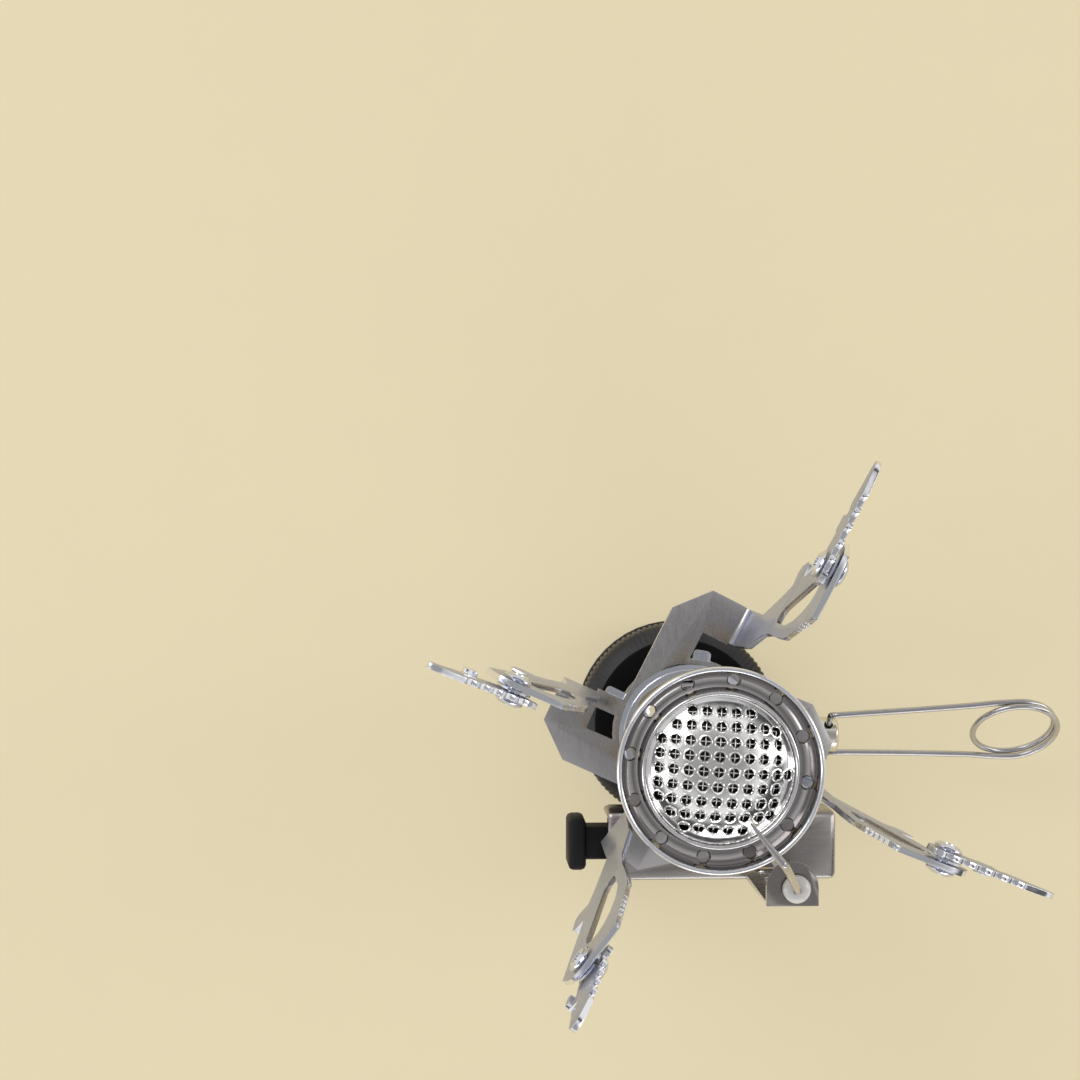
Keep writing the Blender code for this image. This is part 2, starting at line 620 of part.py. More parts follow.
def smooth_route(corners, steps):
    """A Catmull-Rom curve through the corners."""
    points = []
    for i in range(len(corners) - 1):
        before = corners[max(i - 1, 0)]
        start, end = corners[i], corners[i + 1]
        after = corners[min(i + 2, len(corners) - 1)]
        for k in range(steps):
            t = k / steps
            points.append(0.5 * (2 * start + (end - before) * t
                                 + (2 * before - 5 * start + 4 * end - after) * t ** 2
                                 + (3 * start - before - 3 * end + after) * t ** 3))
    points.append(corners[-1])
    return points


# ---------------------------------------------------------------- pot supports

def hook_outline():
    """One arm's flat hook: out beside the arm's own line, then across to the fold at its foot."""
    fold = SHEET / 2 + BEND_R
    return [
        (0, 5.4 * MM), (14.9 * MM, 5.4 * MM), (14.9 * MM, fold), (21.3 * MM, fold),
        (21.3 * MM, 6.9 * MM), (16.2 * MM, 11.3 * MM), (0, 11.3 * MM),
    ]


def fold_outline(plate_z):
    """The quarter bend between plate and blade, in (across, height), lapping a little into each."""
    top = plate_z + SHEET / 2
    across = SHEET / 2 + BEND_R
    lap = 0.3 * MM
    centre = (across, top + BEND_R)
    near, far = BEND_R + 0.01 * MM, BEND_R + SHEET - 0.01 * MM
    inner = arc(centre, near, 270, 180, 4)
    outer = arc(centre, far, 180, 270, 4)
    return ([(across + lap, centre[1] - near)] + inner + [(across - near, centre[1] + lap)]
            + [(across - far, centre[1] + lap)] + outer + [(across + lap, centre[1] - far)])


def blade_outline(foot):
    """The upright blade in (outward, height). It has a window, and a small ear on its outer edge."""
    inner = [(15.2, None), (16.2, 36.5), (18.9, 43.7), (19.5, 49.0), (19.6, 56.0), (20.0, 62.0)]
    notches = []
    for i in range(6):
        share = 0.18 + i * 0.11
        x, z = 20.0 + share * 4.4, 62.0 + share * 12.4
        notches += [(x, z), (x + 0.35, z + 0.35), (x + 0.12, z + 0.75)]
    top = [(24.4, 74.4), (31.6, 74.6), (33.6, 73.9), (34.4, 72.4), (35.2, 69.6)]
    outer = [(32.8, 63.4), (28.9, 53.4), (30.9, 52.3), (31.2, 51.2), (30.2, 48.0), (29.3, 47.3),
             (27.2, 48.2), (25.1, 44.3), (21.5, 36.3), (21.3, None)]
    points = inner + notches + top + outer
    return [(x * MM, foot if z is None else z * MM) for x, z in points]


def window_outline():
    """The blade's long window: a straight side outside, and a bowed side inside."""
    points = [(21.4, 50.6), (21.8, 49.9), (22.8, 50.0), (23.9, 51.2), (29.4, 64.4), (29.6, 66.6),
              (28.9, 67.9), (27.4, 68.2), (25.8, 67.4), (24.2, 65.4), (22.6, 61.8), (21.6, 57.6)]
    return [(x * MM, z * MM) for x, z in points]


def make_bracket(name, arms, plate_z):
    bracket = sheet(name, [arc((0, 0), HUB_PLATE_R, 0, 352.5, 47)], SHEET, STEEL)
    bracket.matrix_world = Matrix.Translation((0, 0, plate_z))
    foot = plate_z + SHEET / 2 + BEND_R
    for arm in arms:
        turn = heading(ARM_HEADINGS[arm])
        hook = sheet(f"hook_{arm}", [hook_outline()], SHEET, STEEL)
        hook.matrix_world = turn @ Matrix.Translation((0, 0, plate_z))
        join(bracket, hook)
        if arm == 2:
            join(bracket, make_web())
        fold = sheet(f"fold_{arm}", [fold_outline(plate_z)], 6.0 * MM, STEEL)
        fold.matrix_world = turn @ Matrix.Translation((18.25 * MM, 0, 0)) @ Matrix((
            (0, 0, 1, 0), (1, 0, 0, 0), (0, 1, 0, 0), (0, 0, 0, 1)))
        join(bracket, fold)
        blade = sheet(f"blade_{arm}", [blade_outline(foot), window_outline(),
                                       arc((PIVOT_R, PIVOT_Z), RIVET_HOLE_R, 0, 330, 11)], SHEET, STEEL)
        blade.matrix_world = turn @ STAND_UP
        join(bracket, blade)
    cut(bracket, rod(name + "_bore", (0, 0, plate_z - 2 * MM), (0, 0, plate_z + 2 * MM), PLATE_BORE,
                     STEEL, sides=48))
    return bracket


def make_web():
    """The second arm has a strip that closes the open side of its hook."""
    web = sheet("web", [[(10.5 * MM, -0.8 * MM), (15.6 * MM, -0.8 * MM), (15.6 * MM, 1.9 * MM),
                         (10.5 * MM, 1.9 * MM)]], SHEET, STEEL)
    web.matrix_world = heading(ARM_HEADINGS[2]) @ Matrix.Translation((0, 0, UPPER_PLATE_Z))
    return web


def tip_outline():
    """A tip in (outward, height) from its pivot: a round hub, a row of hooked teeth, and a tapering end."""
    teeth = [(-2.6 * MM, TOOTH_TOP - 0.9 * MM), (-2.3 * MM, TOOTH_TOP), (-1.3 * MM, TOOTH_TOP + 0.2 * MM),
             (-0.8 * MM, TOOTH_TOP - 0.1 * MM)]
    for i in range(TIP_TEETH):
        x = i * TOOTH_PITCH
        low = TOOTH_TOP - TOOTH_DEPTH
        teeth += [(x - 0.5 * MM, low), (x + 0.5 * MM, low), (x + 0.9 * MM, TOOTH_TOP - 0.2 * MM),
                  (x + 1.3 * MM, TOOTH_TOP), (x + 1.75 * MM, TOOTH_TOP - 0.15 * MM)]
    nose = [(12.2, 2.55), (14.0, 2.0), (15.2, 1.35), (15.6, 0.7), (15.4, 0.1), (14.6, -0.3)]
    under = [(11.5, -0.9), (9.3, -1.5), (8.6, -1.2), (8.2, -0.6), (7.7, -0.6), (7.4, -1.3), (7.3, -2.9),
             (4.9, -2.9), (4.8, -1.9), (2.6, -2.3)]
    points = teeth + [(x * MM, z * MM) for x, z in nose + under]
    return points + arc((0, 0), 2.75 * MM, -60, -215, 7)


def make_tip(arm):
    """The tip turns on its rivet. A small tab below it is turned over towards the blade."""
    turn = heading(ARM_HEADINGS[arm])
    pivot = turn @ Vector((PIVOT_R, 0, PIVOT_Z))
    raised = Matrix.Rotation(-math.radians(TIP_RAISED[arm]), 4, "Y")
    at_pivot = Matrix.Translation(pivot) @ turn
    tip = sheet(f"support_tip_{arm}", [tip_outline(), arc((0, 0), RIVET_HOLE_R, 0, 330, 11)], SHEET, STEEL)
    tip.data.transform(Matrix.Translation((0, TIP_V, 0)) @ STAND_UP)
    tip.matrix_world = at_pivot @ raised
    tab = box(f"tip_tab_{arm}", (4.95 * MM, 0.55 * MM, -2.85 * MM), (7.2 * MM, TIP_V, -2.1 * MM), STEEL)
    tab.matrix_world = tip.matrix_world @ Matrix.Translation(tab.location)
    join(tip, tab)

    head = 0.65 * MM
    near, far = -SHEET / 2 - 0.25 * MM, TIP_V + SHEET / 2 + 0.25 * MM
    domed = 0.55 * RIVET_HEAD_R
    turned(f"tip_rivet_{arm}", [
        (0, far + head), (domed, far + head), (RIVET_HEAD_R, far + 0.25 * MM), (RIVET_HEAD_R, far),
        (RIVET_R, far), (RIVET_R, near), (RIVET_HEAD_R, near), (RIVET_HEAD_R, near - 0.25 * MM),
        (domed, near - head), (0, near - head),
    ], BRIGHT_STEEL, steps=16, closed=False, place=at_pivot @ Matrix.Rotation(math.radians(-90), 4, "X"))
    gap_low, gap_high = SHEET / 2, TIP_V - SHEET / 2
    thickness = 0.3 * MM
    middle = (gap_low + gap_high) / 2
    turned(f"tip_washer_{arm}", [
        (2.4 * MM, middle + thickness / 2), (2.4 * MM, middle - thickness / 2),
        (RIVET_HOLE_R, middle - thickness / 2), (RIVET_HOLE_R, middle + thickness / 2),
    ], BRIGHT_STEEL, steps=16, place=at_pivot @ Matrix.Rotation(math.radians(-90), 4, "X"))


def make_washers():
    """Round the pillar: the tabbed stop washer between the plates, then a spring washer and a clip."""
    washer_z = 22.15 * MM
    stop = sheet("stop_washer", [arc((0, 0), 10.8 * MM, 0, 350, 35), arc((0, 0), PLATE_BORE, 0, 350, 35)],
                 0.6 * MM, BRIGHT_STEEL)
    stop.location.z = washer_z
    for i, (direction, reach) in enumerate(((80.5, 13.0), (153.5, 14.4))):
        outline = rounded_rectangle((9.6 * MM, -1.35 * MM), (reach * MM, 1.35 * MM), 0.6 * MM)
        tab = sheet(f"stop_tab_{i + 1}", [outline], 0.58 * MM, BRIGHT_STEEL)
        tab.matrix_world = heading(direction) @ Matrix.Translation((0, 0, washer_z))
        join(stop, tab)
    turned("spring_washer", [
        (9.2 * MM, 24.95 * MM), (10.9 * MM, 24.5 * MM), (10.9 * MM, 24.1 * MM), (PLATE_BORE, 24.55 * MM),
        (PLATE_BORE, 24.95 * MM),
    ], BRIGHT_STEEL, steps=36)
    clip = sheet("retaining_clip", [
        arc((0, 0), 10.3 * MM, 20, 340, 32) + arc((0, 0), PLATE_BORE, 340, 20, 32),
    ], 0.8 * MM, BRIGHT_STEEL)
    clip.location.z = 25.75 * MM


def main():
    make_collar()
    make_valve()
    make_handle()
    make_pillar()
    make_burner_head()
    make_channel()
    make_piezo()
    make_electrode()
    make_bracket("support_bracket_upper", UPPER_ARMS, UPPER_PLATE_Z)
    make_bracket("support_bracket_lower", LOWER_ARMS, LOWER_PLATE_Z)
    make_washers()
    for arm in ARM_HEADINGS:
        make_tip(arm)


clear_scene()
parts = new_collection("canister_stove")
cutters = new_collection("cutters")
main()
for part in parts.objects:
    if part.type == "MESH" and part.data.polygons:
        smooth(part)
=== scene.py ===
"""The canister stove's looks: camera, studio, finishes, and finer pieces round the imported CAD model."""

import json
import math

import bmesh
import bpy
from mathutils import Matrix, Vector


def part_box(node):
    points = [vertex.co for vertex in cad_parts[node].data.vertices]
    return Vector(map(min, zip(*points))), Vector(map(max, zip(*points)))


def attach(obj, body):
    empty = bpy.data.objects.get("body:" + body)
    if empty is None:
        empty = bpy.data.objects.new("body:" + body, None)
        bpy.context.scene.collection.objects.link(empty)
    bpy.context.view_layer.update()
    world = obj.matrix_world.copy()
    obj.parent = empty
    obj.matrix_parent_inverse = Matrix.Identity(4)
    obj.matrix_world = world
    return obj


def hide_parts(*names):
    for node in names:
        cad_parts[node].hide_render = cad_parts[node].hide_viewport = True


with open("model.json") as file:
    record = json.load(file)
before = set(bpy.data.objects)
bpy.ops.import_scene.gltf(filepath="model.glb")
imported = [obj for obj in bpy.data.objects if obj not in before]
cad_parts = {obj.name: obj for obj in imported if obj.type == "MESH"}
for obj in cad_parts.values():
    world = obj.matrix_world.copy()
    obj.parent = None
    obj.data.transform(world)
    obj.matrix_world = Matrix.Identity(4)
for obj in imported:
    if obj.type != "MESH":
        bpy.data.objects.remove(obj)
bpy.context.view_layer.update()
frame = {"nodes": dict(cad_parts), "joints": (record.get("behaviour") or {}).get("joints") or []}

MM = 0.001
TURN = 2 * math.pi
X_AXIS, Y_AXIS, Z_AXIS = Vector((1, 0, 0)), Vector((0, 1, 0)), Vector((0, 0, 1))
NODES = frame["nodes"]

# Studio. A light is its name, place, width, height and power. A tone is at a height from 0, straight
# down, to 1, straight up.
LIGHTS = (
    ("key", (-0.42, 0.46, 0.50), 0.42, 0.42, 1.5),
    ("right_strip", (0.62, 0.10, 0.34), 0.2, 0.6, 1.0),
    ("left_strip", (-0.62, -0.14, 0.30), 0.16, 0.6, 0.8),
    ("front_strip", (0.10, -0.62, 0.30), 0.5, 0.16, 0.8),
)
LIGHT_AIM = Vector((0, 0, 0.04))
WORLD_TONES = (
    (0.0, 0.9), (0.30, 0.85), (0.42, 0.05), (0.56, 0.05), (0.70, 0.90), (0.84, 0.55), (0.93, 0.30),
    (1.0, 0.36),
)
FLOOR_HALF = 3.0
FLOOR_GAP = 0.02 * MM
PAPER, PAPER_GLOW = (0.40, 0.352, 0.24), (0.45, 0.395, 0.265, 1)

# Supports. Arm headings are in degrees. The other places are along an arm and up, with the blade's
# middle at zero across the arm.
ARM_HEADINGS = {1: 62.8, 2: 155.6, 3: 231.9, 4: -22.1}
ARM_BODIES = {1: "upper_supports", 2: "upper_supports", 3: "lower_supports", 4: "lower_supports"}
SHEET = 0.8 * MM
BLADE_START, BLADE_HALF = 14 * MM, 1.5 * MM
FOLD_HEIGHT, PLATE_EDGE_HEIGHT = 1.1 * MM, 0.4 * MM
WINDOW_START, WINDOW_END = Vector((22.2, 51.2)) * MM, Vector((27.8, 66.5)) * MM
WINDOW_REACH = 3.3 * MM
BRACKET_ROUNDING, TIP_ROUNDING = 0.17 * MM, 0.16 * MM
PIVOT = Vector((31.1 * MM, 0, 71.8 * MM))
TIP_OFFSET = 1.6 * MM
RIVET_SEAT = 0.25 * MM
RIVET_HEAD = (
    (0, 0.50), (0.50, 0.46), (0.62, 0.22), (0.84, 0.20), (0.98, 0.66), (1.38, 0.66), (1.58, 0.44),
    (1.72, 0.46), (1.92, 0.30), (2.0, 0.1), (1.95, 0.0), (1.1, 0.0),
)

# Dome. A port nearer the dome's edge than PORT_LIMIT is left out, and none is nearer than PORT_INSET.
DOME_RISE, DOME_SHEET = 3.0 * MM, 0.4 * MM
PORT_PITCH, PORT_R = 2.1 * MM, 0.69 * MM
PORT_TURN, PORT_SHIFT = math.radians(-4), -0.24
PORT_LIMIT, PORT_INSET = 0.42 * MM, 0.82 * MM
PORT_LIP = ((0.66, -0.16), (0.65, 0.02), (0.73, 0.11), (0.85, 0.09), (0.95, -0.03), (0.95, -0.16))
SCREEN_WIRE_R, SCREEN_WEAVE = 0.105 * MM, 0.1 * MM
SCREEN_DEPTH, SCREEN_INSET = 0.62 * MM, 0.35 * MM

# Cup and clamp ring. The profiles are (radius, height) in millimetres.
CUP_LIP_R = 0.35 * MM
CUP_SHELL = (
    (13.75, 61.45), (13.1, 60.8), (11.4, 59.95), (9.2, 59.4), (8.55, 59.15), (8.3, 58.6), (8.3, 52.3),
    (8.0, 52.0), (4.4, 52.0), (4.4, 52.8), (7.5, 52.8), (7.5, 59.5), (9.0, 60.2), (11.2, 60.7),
    (12.5, 61.25), (13.2, 61.9), (13.55, 62.6),
)
AIR_HOLES, AIR_PHASE, AIR_SEGMENTS = 12, 0.68, 28
AIR_R, AIR_CIRCLE = 0.85 * MM, 12.4 * MM
AIR_HEIGHT, BURR_HEIGHT = 61 * MM, 61.22 * MM
BURR_LEAN = math.radians(-22)
RING_OUTER, RING_INNER = 10.9 * MM, 10.3 * MM
RING_FOOT = ((11.0, 61.7), (11.25, 61.15), (11.75, 60.95), (11.75, 60.86))

# Collar. Each rib's groove cuts this many millimetres into these points of the profile.
COLLAR_BORE = 8.75 * MM
COLLAR_FOOT = 2.05 * MM
COLLAR_STEPS, RIB_STEPS = 312, 3
RIB_DEPTHS = {2: 0.10, 3: 0.2, 4: 0.26, 5: 0.28, 6: 0.28, 7: 0.16}

# Handle: a wire with two legs and a ring, in a frame with X along it and Y along its folding axis.
HANDLE_WIRE_R = 0.48 * MM
HANDLE_DROOP = math.radians(1.3)
LEG_HALF, ELBOW_R = 5.2 * MM, 0.9 * MM
LOOP_CENTRE = Vector((30.0 * MM, 0, 0))
LOOP_R, LOOP_RISE, LOOP_SWELL = 6.55 * MM, 1.6 * MM, 0.2 * MM
LOOP_START, LOOP_SWEEP, LOOP_STEPS = math.radians(102), TURN * 1.5 + math.radians(6), 32

# Electrode. The ceramic's top is (radius, height under the top) in millimetres.
CERAMIC_TOP = (
    (0.62, 0.0), (1.0, 0.02), (1.45, -0.08), (1.8, -0.35), (2.02, -0.8), (2.05, -1.55), (1.6, -1.6),
)
ROD_R, ROD_FOOT, ROD_STRAIGHT = 0.56 * MM, 44.4 * MM, 3.0 * MM
ROD_KNEE, ROD_TIP = Vector((8.7, -13.0, 66.2)) * MM, Vector((3.8, -6.9, 66.3)) * MM
ROD_WIDTHS = (1, 1, 1, 1, 1, 1, 0.95, 0.7, 0.28)
ROD_STEPS = 5


# ---------------------------------------------------------------- places taken from the frame

def low(node):
    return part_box(node)[0]


def high(node):
    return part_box(node)[1]


def middle(node):
    return (Vector(low(node)) + Vector(high(node))) / 2


def joint(name):
    return next(j for j in frame["joints"] if j["name"] == name)


def heading(arm):
    return Matrix.Rotation(math.radians(ARM_HEADINGS[arm]), 4, "Z")


def in_mm(points):
    return [(a * MM, b * MM) for a, b in points]


# ---------------------------------------------------------------- camera and studio

def make_camera():
    """It looks almost straight down, with the pillar right of and below the picture's centre."""
    place = Vector((-40.93, 46.24, 401.9)) * MM
    forward = Vector((0.04775, -0.04321, -0.99792)).normalized()
    right = forward.cross(Vector((0.00206, 0.99907, -0.04315))).normalized()
    up = right.cross(forward)
    lens = bpy.data.cameras.new("photo_camera")
    lens.lens = 83.35
    lens.sensor_width = 36
    lens.clip_start = 0.01
    camera = bpy.data.objects.new("photo_camera", lens)
    bpy.context.scene.collection.objects.link(camera)
    rotation = Matrix((right, up, -forward)).transposed().to_4x4()
    camera.matrix_world = Matrix.Translation(place) @ rotation
    bpy.context.scene.camera = camera


def make_light(name, place, width, height, power):
    data = bpy.data.lights.new(name, "AREA")
    data.shape = "RECTANGLE"
    data.size = width
    data.size_y = height
    data.energy = power
    light = bpy.data.objects.new(name, data)
    bpy.context.scene.collection.objects.link(light)
    light.location = place
    light.rotation_euler = (LIGHT_AIM - Vector(place)).to_track_quat("-Z", "Y").to_euler()


def make_world():
    """Grey bands by height, which the metal reflects as bright and dark streaks."""
    world = bpy.data.worlds.new("studio")
    bpy.context.scene.world = world
    world.use_nodes = True
    tree = world.node_tree
    direction = tree.nodes.new("ShaderNodeTexCoord")
    parts = tree.nodes.new("ShaderNodeSeparateXYZ")
    ramp = tree.nodes.new("ShaderNodeValToRGB")
    tree.links.new(direction.outputs["Generated"], parts.inputs["Vector"])
    tree.links.new(parts.outputs["Z"], ramp.inputs["Fac"])
    tree.links.new(ramp.outputs["Color"], tree.nodes["Background"].inputs["Color"])
    while len(ramp.color_ramp.elements) < len(WORLD_TONES):
        ramp.color_ramp.elements.new(0.5)
    for element, (height, tone) in zip(ramp.color_ramp.elements, WORLD_TONES):
        element.position = height
        element.color = (tone, tone, tone, 1)


def make_floor():
    """Beige paper just under the stove, with a glow of its own that keeps its tone even."""
    mesh = bpy.data.meshes.new("floor")
    corners = [(x * FLOOR_HALF, y * FLOOR_HALF, 0) for x, y in ((-1, -1), (1, -1), (1, 1), (-1, 1))]
    mesh.from_pydata(corners, [], [(0, 1, 2, 3)])
    floor = bpy.data.objects.new("floor", mesh)
    bpy.context.scene.collection.objects.link(floor)
    floor.location.z = low("base_gasket")[2] - FLOOR_GAP
    paper = painted("floor_paper", PAPER, 0.95, grain=900, depth=0.002, variation=0.01)
    shader = paper.node_tree.nodes["Principled BSDF"]
    shader.inputs["Emission Color"].default_value = PAPER_GLOW
    shader.inputs["Emission Strength"].default_value = 1.0
    shader.inputs["Specular IOR Level"].default_value = 0.1
    mesh.materials.append(paper)


def make_studio():
    make_world()
    bpy.context.scene.view_settings.view_transform = "Standard"
    for light in LIGHTS:
        make_light(*light)
    make_floor()


# ---------------------------------------------------------------- materials

class Nodes:
    """A short way to add and join shader nodes."""

    def __init__(self, name):
        self.material = bpy.data.materials.new(name)
        self.material.use_nodes = True
        self.tree = self.material.node_tree
        self.shader = self.tree.nodes["Principled BSDF"]
        self.place = self.add("ShaderNodeTexCoord").outputs["Object"]

    def add(self, kind, **inputs):
        node = self.tree.nodes.new(kind)
        for name, value in inputs.items():
            node.inputs[name.replace("_", " ")].default_value = value
        return node

    def link(self, source, target):
        self.tree.links.new(source, target)

    def speckle(self, scale, detail=3.0, stretch=(1, 1, 1), turn=0.0):
        """Noise at this many cycles a metre, stretched along the object's own axes."""
        mapping = self.add("ShaderNodeMapping", Scale=stretch, Rotation=(0, 0, turn))
        self.link(self.place, mapping.inputs["Vector"])
        texture = self.add("ShaderNodeTexNoise", Scale=scale, Detail=detail, Roughness=0.55)
        self.link(mapping.outputs["Vector"], texture.inputs["Vector"])
        return texture.outputs["Fac"]

    def spread(self, source, low_value, high_value):
        """The noise's middle range spread between two values."""
        node = self.add("ShaderNodeMapRange", From_Min=0.3, From_Max=0.7, To_Min=low_value, To_Max=high_value)
        self.link(source, node.inputs["Value"])
        return node.outputs["Result"]

    def shade(self, factor, dark, light):
        """A colour between dark and light, by the factor."""
        node = self.tree.nodes.new("ShaderNodeMix")
        node.data_type = "RGBA"
        colors = [socket for socket in node.inputs if socket.type == "RGBA"]
        colors[0].default_value = (*dark, 1)
        colors[1].default_value = (*light, 1)
        self.link(factor, node.inputs["Factor"])
        return next(socket for socket in node.outputs if socket.type == "RGBA")

    def mottle(self, noise, color, variation):
        """The base colour, lighter and darker by the noise."""
        dark, light = scaled(color, 1 - variation), scaled(color, 1 + variation)
        self.link(self.shade(self.spread(noise, 0, 1), dark, light), self.shader.inputs["Base Color"])

    def bump(self, height, distance, strength, after=None):
        node = self.add("ShaderNodeBump", Strength=strength, Distance=distance)
        self.link(height, node.inputs["Height"])
        if after:
            self.link(after, node.inputs["Normal"])
        return node.outputs["Normal"]


def scaled(color, factor):
    return tuple(min(1.0, c * factor) for c in color)


def metal(name, color, roughness, grain=1400, stretch=(1, 1, 1), depth=0.002, variation=0.12, turn=0.0,
          mottle=90, wave=0.0, metallic=1.0):
    """Bare metal: fine grain in its bump and roughness, and slow mottling in its colour. Depths in mm."""
    n = Nodes(name)
    fine = n.speckle(grain, detail=4, stretch=stretch, turn=turn)
    n.mottle(n.speckle(mottle), color, variation)
    n.link(n.spread(fine, roughness * 0.86, roughness * 1.16), n.shader.inputs["Roughness"])
    normal = n.bump(fine, depth * MM, 0.6)
    if wave:
        normal = n.bump(n.speckle(330, detail=1.5), wave * MM, 0.8, after=normal)
    n.link(normal, n.shader.inputs["Normal"])
    n.shader.inputs["Metallic"].default_value = metallic
    return n.material


def painted(name, color, roughness, grain, depth, variation, coat=0.0, specular=0.5):
    """A non-metal or coated surface, with a fine stipple and faint wear in its tone. Depth in mm."""
    n = Nodes(name)
    fine = n.speckle(grain)
    slow = n.speckle(120, detail=4)
    n.mottle(slow, color, variation)
    n.link(n.spread(slow, roughness * 0.85, roughness * 1.15), n.shader.inputs["Roughness"])
    n.link(n.bump(fine, depth * MM, 0.5), n.shader.inputs["Normal"])
    n.shader.inputs["Metallic"].default_value = 0.0
    n.shader.inputs["Coat Weight"].default_value = coat
    n.shader.inputs["Specular IOR Level"].default_value = specular
    return n.material


def make_finishes():
    return {
        "plate": metal("plate_steel", (0.46, 0.445, 0.445), 0.28, grain=900, stretch=(2.2, 0.7, 1), turn=0.5,
                       depth=0.0003, variation=0.07, mottle=45),
        # Bluer than the plate to offset the beige of the floor that the upright faces reflect: a colour
        # correction for that reflection, painted into the steel.
        "blade": metal("blade_steel_tinted_against_reflection", (0.42, 0.447, 0.58), 0.34, grain=900, stretch=(1, 1, 2), depth=0.0012,
                       variation=0.08, metallic=0.9),
        # Cut edges: a smoother steel, partly the real shine of a sheared edge, with a colour much lighter
        # than the faces that paints on the highlight they catch.
        "edge": metal("cut_edge_highlight", (0.87, 0.88, 0.93), 0.17, grain=2400, depth=0.004, variation=0.06),
        "polished": metal("polished_steel", (0.80, 0.79, 0.80), 0.13, grain=900, depth=0.0006,
                          variation=0.07),
        "dome": metal("dome_steel", (0.93, 0.92, 0.91), 0.13, grain=900, depth=0.0006, variation=0.08,
                      wave=0.11),
        "trough": metal("trough_steel", (0.48, 0.46, 0.455), 0.10, grain=700, depth=0.0006, variation=0.14,
                        mottle=60),
        "wall": metal("drawn_wall", (0.50, 0.48, 0.475), 0.22, grain=700, depth=0.0006, variation=0.1,
                      mottle=60),
        "chrome": metal("rivet_chrome", (0.70, 0.72, 0.80), 0.13, grain=1500, depth=0.001, variation=0.05),
        "wire": metal("wire_steel", (0.53, 0.52, 0.53), 0.24, grain=1200, stretch=(0.3, 1, 1), depth=0.001,
                      variation=0.08),
        "channel": metal("channel_steel", (0.36, 0.335, 0.325), 0.27, grain=520, stretch=(0.4, 4, 2),
                         depth=0.0008, variation=0.14),
        # Near-black steel: painted shade on the cup's upright inner wall, and also used on the air holes'
        # burrs and the flame screen.
        "soot_and_shade": metal("burnt_steel_and_painted_shade", (0.055, 0.05, 0.05), 0.5, grain=1500, depth=0.006, variation=0.3),
        "screen": metal("screen_wire", (0.78, 0.76, 0.74), 0.22, grain=1500, depth=0.003, variation=0.2),
        "brass": metal("turned_brass", (0.74, 0.57, 0.28), 0.2, grain=900, stretch=(1, 1, 7), depth=0.001),
        "nickel": metal("nickel_plate", (0.76, 0.73, 0.64), 0.24, grain=1200, depth=0.002, variation=0.05),
        "anodised": painted("black_anodised", (0.005, 0.005, 0.0055), 0.55, grain=3000, depth=0.006,
                            specular=0.08, variation=0.2),
        "knurl": painted("knurled_band", (0.030, 0.028, 0.030), 0.42, grain=2600, depth=0.02,
                         specular=0.3, variation=0.35),
        "rubber": painted("black_rubber", (0.016, 0.016, 0.016), 0.8, grain=1600, depth=0.03, variation=0.2),
        "plastic": painted("black_plastic", (0.008, 0.008, 0.009), 0.55, grain=1900, depth=0.02,
                           variation=0.2, specular=0.25),
        "ceramic": painted("glazed_ceramic", (0.80, 0.79, 0.77), 0.14, grain=1200, depth=0.004,
                           variation=0.03, coat=0.6),
        "lead": painted("lead_sleeve", (0.62, 0.61, 0.58), 0.5, grain=1800, depth=0.01, variation=0.08),
    }


# ---------------------------------------------------------------- mesh helpers

def add_piece(name, data, body, slot, *replaced, finish=None, place=None):
    obj = bpy.data.objects.new(name, data)
    bpy.context.scene.collection.objects.link(obj)
    if finish:
        data.materials.clear()
        data.materials.append(FINISHES[finish])
    if place:
        obj.matrix_world = place
    if replaced:
        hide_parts(*replaced)
    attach(obj, body)


def finish_faces(mesh, finishes, choose):
    """Each face gets the finish that choose(face) names."""
    mesh.materials.clear()
    for finish in finishes:
        mesh.materials.append(FINISHES[finish])
    for face in mesh.polygons:
        face.material_index = finishes.index(choose(face))


def refinish(node, finish):
    """A CAD node that is shown as it is, in a better material."""
    data = NODES[node].data
    data.materials.clear()
    data.materials.append(FINISHES[finish])
    return data


def smooth_by_angle(mesh, degrees=32):
    mesh.shade_smooth()
    mesh.set_sharp_from_angle(angle=math.radians(degrees))


def scratch(name, mesh):
    obj = bpy.data.objects.new(name, mesh)
    bpy.context.scene.collection.objects.link(obj)
    return obj


def applied(obj):
    """The mesh that the object's modifiers make."""
    graph = bpy.context.evaluated_depsgraph_get()
    mesh = bpy.data.meshes.new_from_object(obj.evaluated_get(graph))
    bpy.data.objects.remove(obj)
    return mesh


def rounded_copy(node, width, segments=2):
    """A CAD node's mesh with its edges rounded over, so that they catch the light."""
    mesh = NODES[node].data.copy()
    mesh.materials.clear()
    bm = bmesh.new()
    bm.from_mesh(mesh)
    bmesh.ops.remove_doubles(bm, verts=bm.verts, dist=2e-6)
    bmesh.ops.dissolve_limit(bm, angle_limit=math.radians(0.7), verts=bm.verts, edges=bm.edges)
    bm.to_mesh(mesh)
    bm.free()
    obj = scratch(node + "_rounding", mesh)
    bevel = obj.modifiers.new("rounding", "BEVEL")
    bevel.width = width
    bevel.segments = segments
    bevel.limit_method = "ANGLE"
    bevel.angle_limit = math.radians(30)
    bevel.use_clamp_overlap = True
    rounded = applied(obj)
    smooth_by_angle(rounded, 38)
    return rounded


